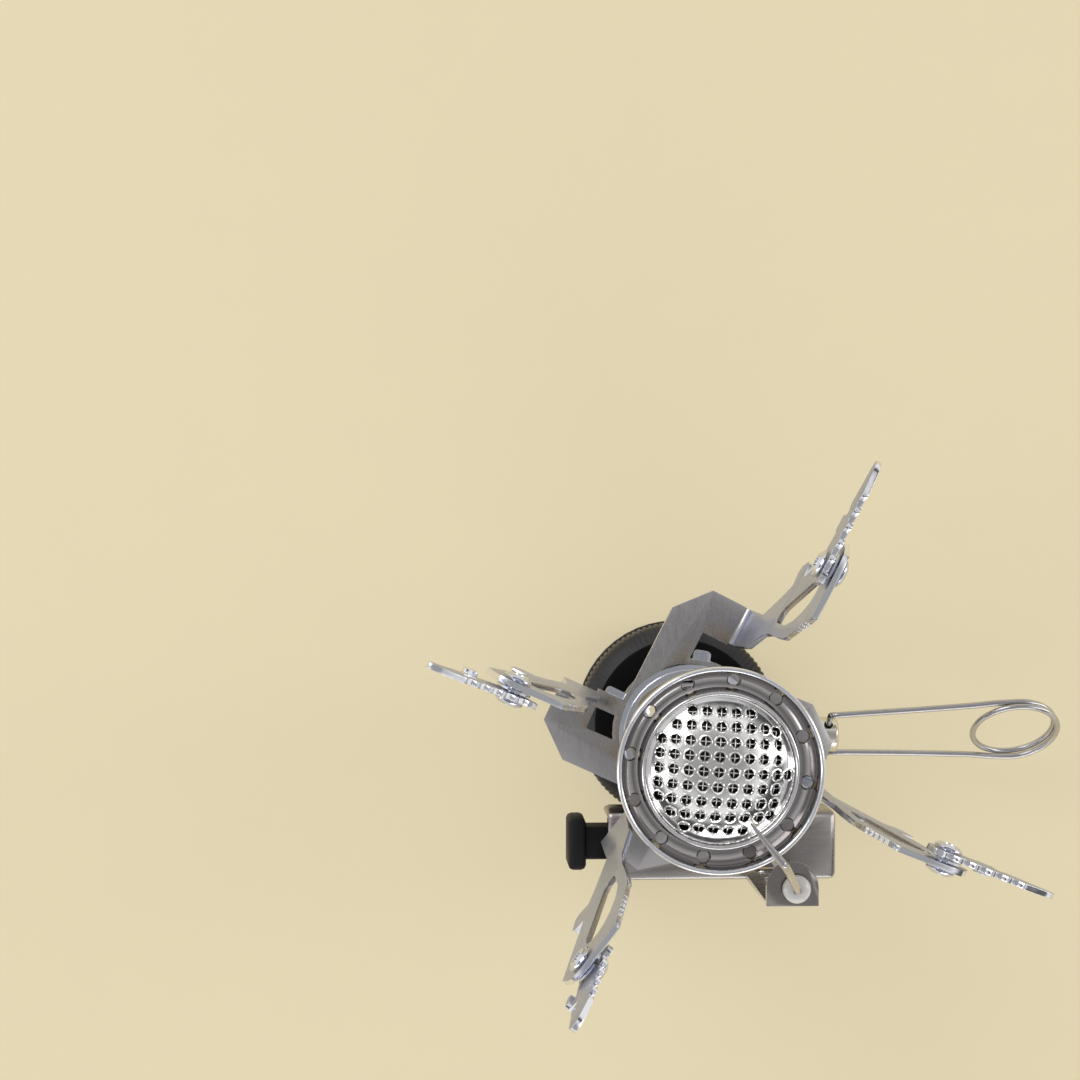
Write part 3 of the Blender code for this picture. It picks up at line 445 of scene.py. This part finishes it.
def punched(name, blank, places, radius, depth, segments):
    """The blank with a round hole through it at each place."""
    sheet = scratch(name + "_blank", blank)
    bm = bmesh.new()
    for place in places:
        bmesh.ops.create_cone(bm, cap_ends=True, segments=segments, radius1=radius, radius2=radius,
                              depth=depth, matrix=place)
    punch_mesh = bpy.data.meshes.new(name + "_punch")
    bm.to_mesh(punch_mesh)
    bm.free()
    punch = scratch(name + "_punch", punch_mesh)
    modifier = sheet.modifiers.new("holes", "BOOLEAN")
    modifier.operation = "DIFFERENCE"
    modifier.solver = "EXACT"
    modifier.object = punch
    mesh = applied(sheet)
    bpy.data.objects.remove(punch)
    return mesh


def join_meshes(mesh, extras):
    """Adds the extra meshes to the mesh."""
    bm = bmesh.new()
    bm.from_mesh(mesh)
    for extra in extras:
        bm.from_mesh(extra)
        bpy.data.meshes.remove(extra)
    bm.to_mesh(mesh)
    bm.free()


def arc(centre, radius, start, end, steps):
    points = []
    for i in range(steps + 1):
        angle = math.radians(start + (end - start) * i / steps)
        points.append((centre[0] + radius * math.cos(angle), centre[1] + radius * math.sin(angle)))
    return points


def lathe(name, profile, steps=64, closed=True, ripple=None):
    """A (radius, height) profile turned about Z. A ripple(turn step, profile point) adds to the radius."""
    mesh = bpy.data.meshes.new(name)
    bm = bmesh.new()
    rings = []
    for i in range(steps):
        angle = TURN * i / steps
        ring = []
        for k, (r, z) in enumerate(profile):
            if r < 1e-7 and rings:
                ring.append(rings[0][k])
                continue
            reach = r + (ripple(i, k) if ripple else 0)
            ring.append(bm.verts.new((reach * math.cos(angle), reach * math.sin(angle), z)))
        rings.append(ring)
    count = len(profile) if closed else len(profile) - 1
    for i in range(steps):
        here, after = rings[i], rings[(i + 1) % steps]
        for k in range(count):
            corners = [here[k], here[(k + 1) % len(profile)], after[(k + 1) % len(profile)], after[k]]
            unique = list(dict.fromkeys(corners))
            if len(unique) > 2:
                bm.faces.new(unique)
    bmesh.ops.recalc_face_normals(bm, faces=bm.faces)
    bm.to_mesh(mesh)
    bm.free()
    smooth_by_angle(mesh)
    return mesh


def wires(name, routes, radius, fineness=4, taper=None):
    """A round wire along each route. The taper scales the radius at each point."""
    curve = bpy.data.curves.new(name, "CURVE")
    curve.dimensions = "3D"
    curve.bevel_depth = radius
    curve.bevel_resolution = fineness
    curve.use_fill_caps = True
    for route in routes:
        spline = curve.splines.new("POLY")
        spline.points.add(len(route) - 1)
        for i, co in enumerate(route):
            spline.points[i].co = (*co, 1)
            spline.points[i].radius = taper[i] if taper else 1.0
    return curve


def smooth_route(corners, steps):
    """A Catmull-Rom curve through the corners."""
    points = []
    for i in range(len(corners) - 1):
        before = corners[max(i - 1, 0)]
        start, end = corners[i], corners[i + 1]
        after = corners[min(i + 2, len(corners) - 1)]
        for k in range(steps):
            t = k / steps
            points.append(0.5 * (2 * start + (end - before) * t
                                 + (2 * before - 5 * start + 4 * end - after) * t ** 2
                                 + (3 * start - before - 3 * end + after) * t ** 3))
    points.append(corners[-1])
    return points


# ---------------------------------------------------------------- pot supports

def on_blade(spot):
    """True for a spot, in an arm's own frame, on its upright blade."""
    return spot.x > BLADE_START and abs(spot.y) < BLADE_HALF


def is_cut_edge(centre, normal, arms, plate_top):
    """True for a face on the sheet's cut edge, and not on one of its two flat sides or its fold."""
    for arm in arms:
        local = heading(arm).inverted()
        spot, facing = local @ centre, local.to_3x3() @ normal
        if on_blade(spot):
            if spot.z > plate_top + FOLD_HEIGHT:
                return abs(facing.y) < 0.8
            return abs(facing.x) > 0.6
    return abs(normal.z) < 0.8


def is_window_wall(centre, arms):
    """True near the long axis of an arm's window."""
    axis = WINDOW_END - WINDOW_START
    for arm in arms:
        spot = heading(arm).inverted() @ centre
        if not on_blade(spot):
            continue
        flat = Vector((spot.x, spot.z))
        share = min(1, max(0, (flat - WINDOW_START).dot(axis) / axis.length_squared))
        if (flat - WINDOW_START.lerp(WINDOW_END, share)).length < WINDOW_REACH:
            return True
    return False


def make_bracket(node, body, arms):
    """A folded bracket: its plate, its two blades, their cut edges and the walls of their windows."""
    mesh = rounded_copy(node, BRACKET_ROUNDING)
    plate_top = low(node)[2] + SHEET

    def choose(face):
        if is_cut_edge(face.center, face.normal, arms, plate_top):
            # Cut edges take the lighter edge finish, a painted highlight; the window walls keep the plain
            # wall steel.
            return "wall" if is_window_wall(face.center, arms) else "edge"
        # The upright blades take the blue-tinted blade finish that offsets the floor they reflect.
        return "blade" if face.center.z > plate_top + PLATE_EDGE_HEIGHT else "plate"

    finish_faces(mesh, ("plate", "blade", "edge", "wall"), choose)
    add_piece(node + "_sheet", mesh, body, "stainless_steel", node)


def make_tip(arm):
    node = f"support_tip_{arm}"
    mesh = rounded_copy(node, TIP_ROUNDING)
    side = heading(arm) @ Y_AXIS

    def choose(face):
        # Faces other than the tip's flat sides take the lighter edge finish, a painted highlight.
        return "blade" if abs(face.normal.dot(side)) > 0.8 else "edge"

    finish_faces(mesh, ("blade", "edge"), choose)
    add_piece(node + "_sheet", mesh, f"tip_{arm}", "stainless_steel", node)


def make_rivet(arm):
    """A rivet with a ringed head at each end, and the washer between blade and tip."""
    near, far = -SHEET / 2 - RIVET_SEAT, TIP_OFFSET + SHEET / 2 + RIVET_SEAT
    profile = [(r * MM, far + h * MM) for r, h in RIVET_HEAD]
    profile += [(r * MM, near - h * MM) for r, h in reversed(RIVET_HEAD)]
    mesh = lathe(f"rivet_{arm}", profile, steps=36, closed=False)
    mesh.transform(heading(arm) @ Matrix.Translation(PIVOT) @ Matrix.Rotation(math.radians(-90), 4, "X"))
    add_piece(f"rivet_{arm}", mesh, ARM_BODIES[arm], "bright_steel", f"tip_rivet_{arm}", finish="chrome")
    refinish(f"tip_washer_{arm}", "chrome")


# ---------------------------------------------------------------- burner

def dome_sphere():
    """The dome's own sphere: its radius and its centre's height. Last, the dome's radius at its edge."""
    base, top = low("flame_dome"), high("flame_dome")
    edge_r = (top[0] - base[0]) / 2
    radius = (edge_r ** 2 + DOME_RISE ** 2) / (2 * DOME_RISE)
    return radius, top[2] - radius, edge_r


def on_dome(i, j, radius):
    """A point of the ports' grid, punched flat and then domed, as (x, y)."""
    flat = Vector(((i + PORT_SHIFT) * PORT_PITCH, j * PORT_PITCH))
    if flat.length < 1e-9:
        return flat
    domed = radius * math.sin(min(flat.length / radius, math.pi / 2))
    return Matrix.Rotation(PORT_TURN, 2) @ flat.normalized() * domed


def sphere_place(spot, radius, centre_z):
    """A frame on the sphere over (x, y), with Z outward."""
    z = math.sqrt(max(radius ** 2 - spot.length_squared, 0))
    outward = Vector((spot.x, spot.y, z)).normalized()
    turn = outward.to_track_quat("Z", "Y").to_matrix().to_4x4()
    return Matrix.Translation(Vector((spot.x, spot.y, centre_z + z))) @ turn


def port_places(radius, centre_z, edge_r):
    """A frame on the dome for each port."""
    places = []
    for i in range(-5, 6):
        for j in range(-5, 6):
            spot = on_dome(i, j, radius)
            if spot.length < edge_r - PORT_LIMIT:
                inside = spot.normalized() * min(spot.length, edge_r - PORT_INSET)
                places.append(sphere_place(inside, radius, centre_z))
    return places


def make_dome():
    """The dome: a thin cap with a turned-down brim, its ports punched and a lip round each one."""
    radius, centre_z, edge_r = dome_sphere()
    half = math.degrees(math.asin(edge_r / radius))
    outer = arc((0, centre_z), radius, 90, 90 - half, 16)
    inner = arc((0, centre_z), radius - DOME_SHEET, 90 - half, 90, 16)
    outer[0] = (0, outer[0][1])
    inner[-1] = (0, inner[-1][1])
    brim_r, brim_z = outer[-1]
    outer += [(brim_r + 0.16 * MM, brim_z + 0.12 * MM), (brim_r + 0.21 * MM, brim_z + 0.02 * MM),
              (brim_r + 0.21 * MM, brim_z - 0.4 * MM)]
    places = port_places(radius, centre_z, edge_r)
    blank = lathe("dome_blank", outer + inner, steps=96, closed=False)
    mesh = punched("dome", blank, places, PORT_R, depth=3 * MM, segments=18)
    lips = []
    for place in places:
        lip = lathe("lip", in_mm(PORT_LIP), steps=18)
        lip.transform(place)
        lips.append(lip)
    join_meshes(mesh, lips)
    smooth_by_angle(mesh, 40)
    add_piece("dome_sheet", mesh, "burner_base", "bright_steel", "flame_dome", finish="dome")
    make_screen_wires(radius, centre_z, edge_r)


def make_screen_wires(radius, centre_z, edge_r):
    """The woven screen just under the dome. A wire crosses another under the middle of each port."""
    routes = []
    for along in (0, 1):
        for line in range(-10, 12):
            points = []
            for step in range(-11, 13):
                i, j = (line / 2, step / 2) if along else (step / 2, line / 2)
                spot = on_dome(i, j, radius)
                if spot.length > edge_r - SCREEN_INSET:
                    continue
                weave = SCREEN_WEAVE * (1 if (line + step + along) % 2 else -1)
                rise = math.sqrt(radius ** 2 - spot.length_squared)
                outward = Vector((spot.x, spot.y, rise)).normalized()
                points.append(Vector((0, 0, centre_z)) + outward * (radius - SCREEN_DEPTH + weave))
            if len(points) > 2:
                routes.append(points)
    curve = wires("screen_wires", routes, SCREEN_WIRE_R, fineness=1)
    add_piece("screen_wires", curve, "burner_base", "screen_wire", finish="screen")


def air_hole(i):
    """An air hole's heading, and its middle as x and y."""
    angle = TURN * (i + AIR_PHASE) / AIR_HOLES
    return angle, AIR_CIRCLE * math.cos(angle), AIR_CIRCLE * math.sin(angle)


def make_cup():
    """The flared cup: a rolled lip, a wall inside it painted near-black as shade, and a trough pierced by air
    holes.
    """
    top, rim_r = high("burner_cup")[2], high("burner_cup")[0]
    profile = arc((rim_r - CUP_LIP_R, top - CUP_LIP_R), CUP_LIP_R, 180, -20, 8)
    profile += [(rim_r - 0.05 * MM, top - 1.2 * MM), (rim_r - 0.1 * MM, 62.3 * MM)]
    profile += in_mm(CUP_SHELL)
    profile.append((13.6 * MM, top - 0.5 * MM))
    places = []
    for i in range(AIR_HOLES):
        _, x, y = air_hole(i)
        places.append(Matrix.Translation((x, y, AIR_HEIGHT)))
    mesh = punched("cup", lathe("cup_blank", profile, steps=144), places, AIR_R, depth=5 * MM,
                   segments=AIR_SEGMENTS)
    smooth_by_angle(mesh, 34)

    def choose(face):
        reach, height = math.hypot(face.center.x, face.center.y), face.center.z
        # The upright wall inside the lip is painted near-black: painted shade.
        if 11.4 * MM < reach < 13.4 * MM and abs(face.normal.z) < 0.2:
            return "soot_and_shade"
        # The top of the rolled lip takes the lighter edge finish: a painted highlight.
        if reach > 13.5 * MM and height > top - 0.36 * MM:
            return "edge"
        if 7.4 * MM < reach < 13.62 * MM and 59.3 * MM < height < top - 0.4 * MM:
            return "trough"
        return "wall"

    finish_faces(mesh, ("wall", "trough", "edge", "soot_and_shade"), choose)
    add_piece("cup_shell", mesh, "burner_base", "bright_steel", "burner_cup")


def make_air_burrs():
    """The raised edge that the punch left round each air hole."""
    section = [(AIR_R + (0.09 + 0.08 * math.cos(a)) * MM, 0.08 * MM * math.sin(a))
               for a in (0, 1.2, 2.4, 3.6, 4.8)]
    rings = []
    for i in range(AIR_HOLES):
        angle, x, y = air_hole(i)
        lean = Matrix.Rotation(angle, 4, "Z") @ Matrix.Rotation(BURR_LEAN, 4, "Y")
        ring = lathe("burr", section, steps=AIR_SEGMENTS)
        ring.transform(Matrix.Translation((x, y, BURR_HEIGHT)) @ lean)
        rings.append(ring)
    burrs = bpy.data.meshes.new("air_burrs")
    join_meshes(burrs, rings)
    smooth_by_angle(burrs, 60)
    add_piece("air_burrs", burrs, "burner_base", "stainless_steel", finish="soot_and_shade")


def make_ring():
    """The band that clamps the dome, rounded on top and flared where it meets the trough."""
    top, half = high("dome_ring")[2], 0.3 * MM
    profile = arc(((RING_OUTER + RING_INNER) / 2, top - half), half, 180, 0, 8)
    profile += [(RING_OUTER, 62.4 * MM), *in_mm(RING_FOOT), (RING_INNER, 60.56 * MM)]
    mesh = lathe("dome_ring", profile, steps=144)
    add_piece("ring_band", mesh, "burner_base", "bright_steel", "dome_ring", finish="polished")


def make_pillar():
    """The slotted tube, its edges broken, and the drawn mixing tube inside it."""
    for node, slot, finish, width in (("burner_pillar", "bright_steel", "polished", 0.12),
                                      ("mixing_tube", "stainless_steel", "blade", 0.1)):
        mesh = rounded_copy(node, width * MM)
        add_piece(node + "_wall", mesh, "burner_base", slot, node, finish=finish)


# ---------------------------------------------------------------- collar and valve

def make_collar():
    """The collar has a flat top and a finely ribbed band round its side."""
    outer, top = high("base_collar")[0], high("base_collar")[2]
    band_r = outer - 0.02 * MM
    profile = [(13.0 * MM, top), (13.4 * MM, top - 0.12 * MM), (14.5 * MM, top - 0.75 * MM),
               (15.4 * MM, top - 1.5 * MM), (outer - 0.1 * MM, top - 2.0 * MM), (band_r, top - 2.5 * MM),
               (band_r, 2.9 * MM), (outer - 0.15 * MM, 2.4 * MM), (outer - 0.5 * MM, COLLAR_FOOT),
               (COLLAR_BORE, COLLAR_FOOT), (COLLAR_BORE, top - 0.15 * MM), (8.9 * MM, top)]

    def ripple(i, k):
        return -RIB_DEPTHS[k] * MM if k in RIB_DEPTHS and i % RIB_STEPS == 0 else 0

    def choose(face):
        reach = math.hypot(face.center.x, face.center.y)
        return "knurl" if reach > 13.45 * MM and face.center.z > 2.1 * MM else "anodised"

    mesh = lathe("collar", profile, steps=COLLAR_STEPS, ripple=ripple)
    finish_faces(mesh, ("anodised", "knurl"), choose)
    add_piece("collar_shell", mesh, "burner_base", "black_anodised", "base_collar")


def handle_route():
    """The corners of the handle's wire: from the hub along one leg, round the ring and back."""
    loop = []
    for i in range(LOOP_STEPS + 1):
        share = i / LOOP_STEPS
        angle = LOOP_START - share * LOOP_SWEEP
        swell = LOOP_R - LOOP_SWELL * math.sin(TURN * share)
        spot = Vector((swell * math.cos(angle), swell * math.sin(angle), LOOP_RISE * (share - 0.5)))
        loop.append(LOOP_CENTRE + spot)
    start = [Vector((0, 0.7 * MM, 0)), Vector((0, LEG_HALF - ELBOW_R, 0))]
    for degrees in (35, 65):
        turn = math.radians(degrees)
        start.append(Vector((ELBOW_R * (1 - math.cos(turn)), LEG_HALF - ELBOW_R * (1 - math.sin(turn)), 0)))
    start.append(Vector((ELBOW_R * 1.2, LEG_HALF, 0)))
    first_leg = [Vector((13 * MM, LEG_HALF + 0.45 * MM, -0.3 * MM)),
                 Vector((22 * MM, LEG_HALF + 0.8 * MM, -0.6 * MM)),
                 Vector((25.5 * MM, LEG_HALF + 1.05 * MM, -0.75 * MM))]
    last_leg = [Vector((27.2 * MM, -LEG_HALF - 1.1 * MM, 0.78 * MM)),
                Vector((23.4 * MM, -LEG_HALF - 0.6 * MM, 0.65 * MM)),
                Vector((12 * MM, -LEG_HALF - 0.2 * MM, 0.3 * MM))]
    end = [Vector((p.x, -p.y, -p.z)) for p in reversed(start)]
    return start + first_leg + loop + last_leg + end


def make_handle():
    """The wire loop: its ends in the hub, two legs, and a ring of one and a half turns."""
    fold = joint("handle_fold")
    across = Vector(fold["axis"]).normalized()
    axes = Matrix((X_AXIS, across, X_AXIS.cross(across))).transposed().to_4x4()
    place = Matrix.Translation(Vector(fold["pos_m"])) @ axes @ Matrix.Rotation(HANDLE_DROOP, 4, "Y")
    curve = wires("handle_loop", [smooth_route(handle_route(), 3)], HANDLE_WIRE_R)
    add_piece("handle_loop", curve, "handle", "bright_steel", "valve_handle_wire", finish="wire",
              place=place)


# ---------------------------------------------------------------- igniter

def make_ceramic():
    """The ceramic, with a domed collar over its tab."""
    x, y, _ = middle("electrode_ceramic")
    foot, top = low("electrode_ceramic")[2], high("electrode_ceramic")[2]
    points = [(0, top - 2.2 * MM), (0.62 * MM, top - 2.2 * MM)]
    points += [(r * MM, top + h * MM) for r, h in CERAMIC_TOP]
    points += [(1.6 * MM, foot + 0.2 * MM), (1.4 * MM, foot), (0, foot)]
    mesh = lathe("insulator", points, steps=40, closed=False)
    mesh.transform(Matrix.Translation((x, y, 0)))
    add_piece("insulator", mesh, "burner_base", "white_ceramic", "electrode_ceramic", finish="ceramic")


def make_spark_rod():
    """The steel rod out of the ceramic's top, bent at its knee and pointed at its tip."""
    x, y, _ = middle("electrode_ceramic")
    base = Vector((x, y, ROD_FOOT))
    leave = base + Vector((0, 0, ROD_STRAIGHT))
    corners = [
        base, leave, leave.lerp(ROD_KNEE, 0.3) + Vector((0.3 * MM, -0.5 * MM, 0)),
        leave.lerp(ROD_KNEE, 0.75), leave.lerp(ROD_KNEE, 0.93),
        ROD_KNEE.lerp(ROD_TIP, 0.06) + Vector((0, 0, 0.25 * MM)),
        ROD_KNEE.lerp(ROD_TIP, 0.2) + Vector((0, 0, 0.35 * MM)),
        ROD_KNEE.lerp(ROD_TIP, 0.62) + Vector((0, 0, 0.15 * MM)), ROD_TIP,
    ]
    taper = []
    for here, after in zip(ROD_WIDTHS, ROD_WIDTHS[1:]):
        taper += [here + (after - here) * k / ROD_STEPS for k in range(ROD_STEPS)]
    taper.append(ROD_WIDTHS[-1])
    curve = wires("spark_rod", [smooth_route(corners, ROD_STEPS)], ROD_R, taper=taper)
    add_piece("spark_rod", curve, "burner_base", "bright_steel", "electrode_wire", finish="wire")


# ---------------------------------------------------------------- rounded copies of CAD nodes

def make_sheet_copy(node, finish, slot, width, flat_axes):
    """A rounded copy of a sheet-metal node, its cut edges lighter than its faces: a painted highlight on a
    shinier edge. The width is in mm.
    """
    def choose(face):
        return finish if max(abs(face.normal.dot(axis)) for axis in flat_axes) > 0.8 else "edge"

    mesh = rounded_copy(node, width * MM)
    finish_faces(mesh, (finish, "edge"), choose)
    add_piece(node + "_sheet", mesh, "burner_base", slot, node)


def make_solid_copy(node, finish, slot, width, body="burner_base"):
    """A rounded copy of a solid node in one finish. The width is in mm."""
    mesh = rounded_copy(node, width * MM, segments=3)
    add_piece(node + "_form", mesh, body, slot, node, finish=finish)


# ---------------------------------------------------------------- all together

make_camera()
FINISHES = make_finishes()
make_studio()

make_bracket("support_bracket_upper", "upper_supports", (1, 2))
make_bracket("support_bracket_lower", "lower_supports", (3, 4))
for arm in ARM_HEADINGS:
    make_tip(arm)
    make_rivet(arm)

make_dome()
make_cup()
make_air_burrs()
make_ring()
make_pillar()
make_collar()
make_handle()
make_ceramic()
make_spark_rod()

make_sheet_copy("stop_washer", "chrome", "bright_steel", 0.08, (Z_AXIS,))
make_sheet_copy("retaining_clip", "chrome", "bright_steel", 0.12, (Z_AXIS,))
make_sheet_copy("channel_bracket", "channel", "stainless_steel", 0.1, (Y_AXIS, X_AXIS, Z_AXIS))
make_sheet_copy("electrode_bracket", "channel", "stainless_steel", 0.1, (Y_AXIS, Z_AXIS))
make_solid_copy("valve_body", "anodised", "black_anodised", 0.25)
make_solid_copy("handle_hub", "nickel", "nickel_plate", 0.12, body="spindle")
make_solid_copy("packing_nut", "nickel", "nickel_plate", 0.2)
make_solid_copy("piezo_body", "plastic", "black_plastic", 0.15)
make_solid_copy("piezo_button", "plastic", "black_plastic", 0.15, body="button")
make_solid_copy("gas_jet", "brass", "brass", 0.12)

for node, finish in (
    ("base_gasket", "rubber"), ("thread_socket", "brass"), ("socket_o_ring", "rubber"),
    ("valve_pin", "brass"), ("spindle_o_ring", "rubber"), ("valve_spindle", "brass"),
    ("flame_screen", "soot_and_shade"), ("igniter_lead", "lead"), ("spring_washer", "chrome"),
):
    smooth_by_angle(refinish(node, finish), 35)
